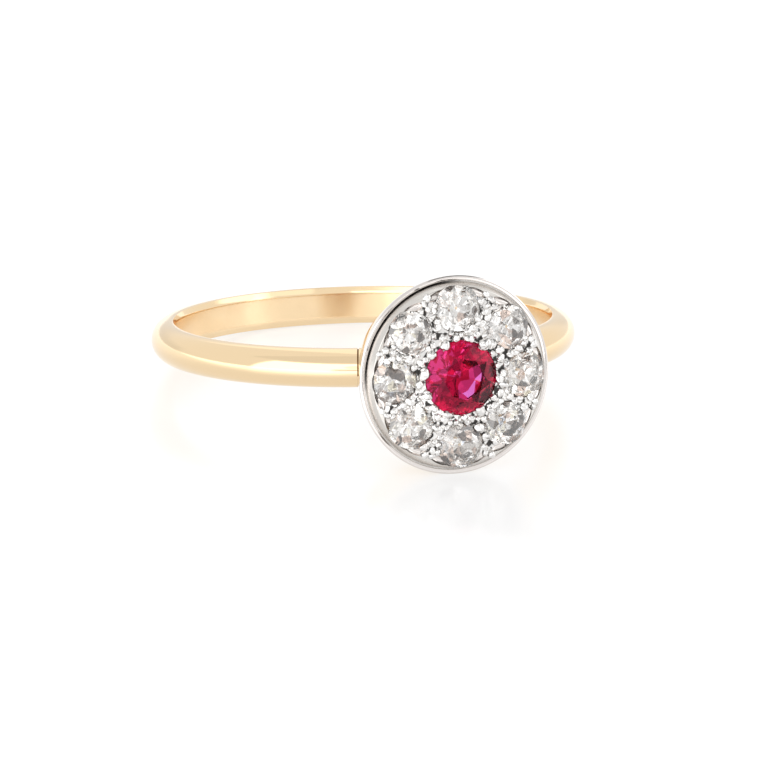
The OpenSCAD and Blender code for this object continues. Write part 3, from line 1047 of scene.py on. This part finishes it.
grains = make_grains("setting_grains", grain_spots, detail=4, seed=7)
fillers = make_grains("small_grains", filler_spots, detail=3, seed=8)
for piece in (top, grains, fillers):
    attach(piece, "root")
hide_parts("top_plate")

# %% [markdown]
# ## The floor
#
# The ring lies on a small sheet of smooth white acrylic inside a white light tent. The sheet is lit from
# below a little, so it is nearly as white as the tent behind it, and it glows brighter towards the large
# soft box at the left. It still mirrors the ring faintly, as the photograph's floor does.

# %% Floor
SOFT_BOX_SIDE = (-0.77, -0.64, 0)
GLOW_FROM_MM = 11
GLOW_TO_MM = 22
GLOW_LOW = 0.6
GLOW_HIGH = 1.15


def make_floor():
    """The sheet glows a little more towards the soft box."""
    material, tree, shader = new_finish("white_acrylic_sheet")
    shader.inputs["Base Color"].default_value = (0.35, 0.35, 0.35, 1)
    shader.inputs["Roughness"].default_value = 0.2
    shader.inputs["IOR"].default_value = 1.49
    shader.inputs["Emission Color"].default_value = (1, 1, 1, 1)
    place = add_node(tree, "ShaderNodeTexCoord").outputs["Object"]
    toward = vector_maths(tree, "DOT_PRODUCT", place, SOFT_BOX_SIDE)
    glow = fade(tree, toward, GLOW_FROM_MM * MM, GLOW_TO_MM * MM, GLOW_LOW, GLOW_HIGH)
    tree.links.new(glow, shader.inputs["Emission Strength"])
    return material


FLOOR_HALF_MM = 130
FLOOR_DROP_MM = 0.004
corners = [(x * FLOOR_HALF_MM, y * FLOOR_HALF_MM, -FLOOR_DROP_MM)
           for x, y in ((-1, -1), (1, -1), (1, 1), (-1, 1))]
floor = mesh_object("floor", corners, [(0, 1, 2, 3)], Matrix.Scale(MM, 4))
floor.data.materials.append(make_floor())
print("sheet:", 2 * FLOOR_HALF_MM, "mm square")

# %% [markdown]
# ## The light tent
#
# The tent is the world's background: white all round, with a large soft box at the left, which makes the
# long streak on the band. The right side has dark cards with bright gaps, and a small light stands
# behind, because polished metal and cut stones only look bright where something dark is reflected beside
# the light. Each panel changes the tent's brightness between two azimuths and two elevations, with soft
# edges. Azimuth 0 is the way the stones face, and the camera stands at -21. The tent is a little darker
# round the lens.

# %% Light tent
TENT_LEVEL = 1.0
# Azimuths, elevations and width of the soft edge in degrees, and the change of brightness
TENT_PANELS = [
    ((-82, -36), (-90, 38), 4, 1.1),
    ((-36, -14), (7, 38), 4, 1.1),
    ((-110, 10), (43, 84), 4, -0.11),
    ((14, 48), (30, 48), 4, 0.25),
    ((48, 92), (18, 46), 4, 0.75),
    ((42, 58), (2, 30), 4, 0.5),
    ((10, 32), (-90, -0.5), 1, -0.8),
    ((10, 150), (50, 95), 5, -0.7),
    ((155, 200), (24, 80), 10, 0.25),
    ((-200, -140), (-90, 10), 12, -0.12),
    ((140, 200), (-90, 10), 12, -0.12),
]
LENS_HALF_ANGLE = 10
LENS_SHADE = 0.7
LENS_EDGE = 2
DARKEST = 0.02


def make_tent():
    """A world whose brightness depends only on the direction, apart from plain white behind the ring."""
    world = bpy.data.worlds.new("light_tent")
    bpy.context.scene.world = world
    world.use_nodes = True
    tree = world.node_tree
    shader = next(n for n in tree.nodes if n.type == "BACKGROUND")
    toward = add_node(tree, "ShaderNodeTexCoord").outputs["Generated"]

    def rises(value, middle, soft):
        """From 0 to 1 over a soft edge."""
        return fade(tree, value, middle - soft / 2, middle + soft / 2)

    def within(value, low, high, soft):
        """1 between two values and 0 outside them."""
        return maths(tree, "MULTIPLY", rises(value, low, soft),
                     maths(tree, "SUBTRACT", 1.0, rises(value, high, soft)))

    parts = add_node(tree, "ShaderNodeSeparateXYZ", Vector=toward).outputs
    front = maths(tree, "MULTIPLY", parts["Y"], -1.0)
    azimuth = maths(tree, "DEGREES", maths(tree, "ARCTAN2", parts["X"], front))
    elevation = maths(tree, "DEGREES", maths(tree, "ARCSINE", parts["Z"]))
    level = TENT_LEVEL
    for (left, right), (low, high), soft, change in TENT_PANELS:
        panel = maths(tree, "MULTIPLY", within(azimuth, left, right, soft),
                      within(elevation, low, high, soft))
        level = maths(tree, "ADD", level, maths(tree, "MULTIPLY", panel, change))
    aim = vector_maths(tree, "DOT_PRODUCT", toward, tuple(cam_back))
    off_lens = rises(maths(tree, "DEGREES", maths(tree, "ARCCOSINE", aim)), LENS_HALF_ANGLE, LENS_EDGE)
    shade = maths(tree, "ADD", maths(tree, "MULTIPLY", off_lens, 1 - LENS_SHADE), LENS_SHADE)
    level = maths(tree, "MAXIMUM", maths(tree, "MULTIPLY", level, shade), DARKEST)
    seen = add_node(tree, "ShaderNodeLightPath").outputs["Is Camera Ray"]
    strength = add_node(tree, "ShaderNodeMix", {"data_type": "FLOAT"}, Factor=seen, A=level, B=1.0)
    tree.links.new(strength.outputs["Result"], shader.inputs["Strength"])
    shader.inputs["Color"].default_value = (1, 1, 1, 1)


make_tent()
print("tent panels:", len(TENT_PANELS))

# %% [markdown]
# ## Light inside the stones
#
# A ray bounces many times inside a cut stone before it leaves, so the path tracer gets more bounces than
# usual. The Standard view keeps the white surroundings white. The brightest sparks are held back a
# little, because they would leave grainy dots.

# %% Picture settings
scene = bpy.context.scene
scene.view_settings.view_transform = "Standard"
scene.cycles.max_bounces = 24
scene.cycles.transmission_bounces = 24
scene.cycles.glossy_bounces = 12
scene.cycles.sample_clamp_indirect = 6
print("bounces:", scene.cycles.max_bounces)
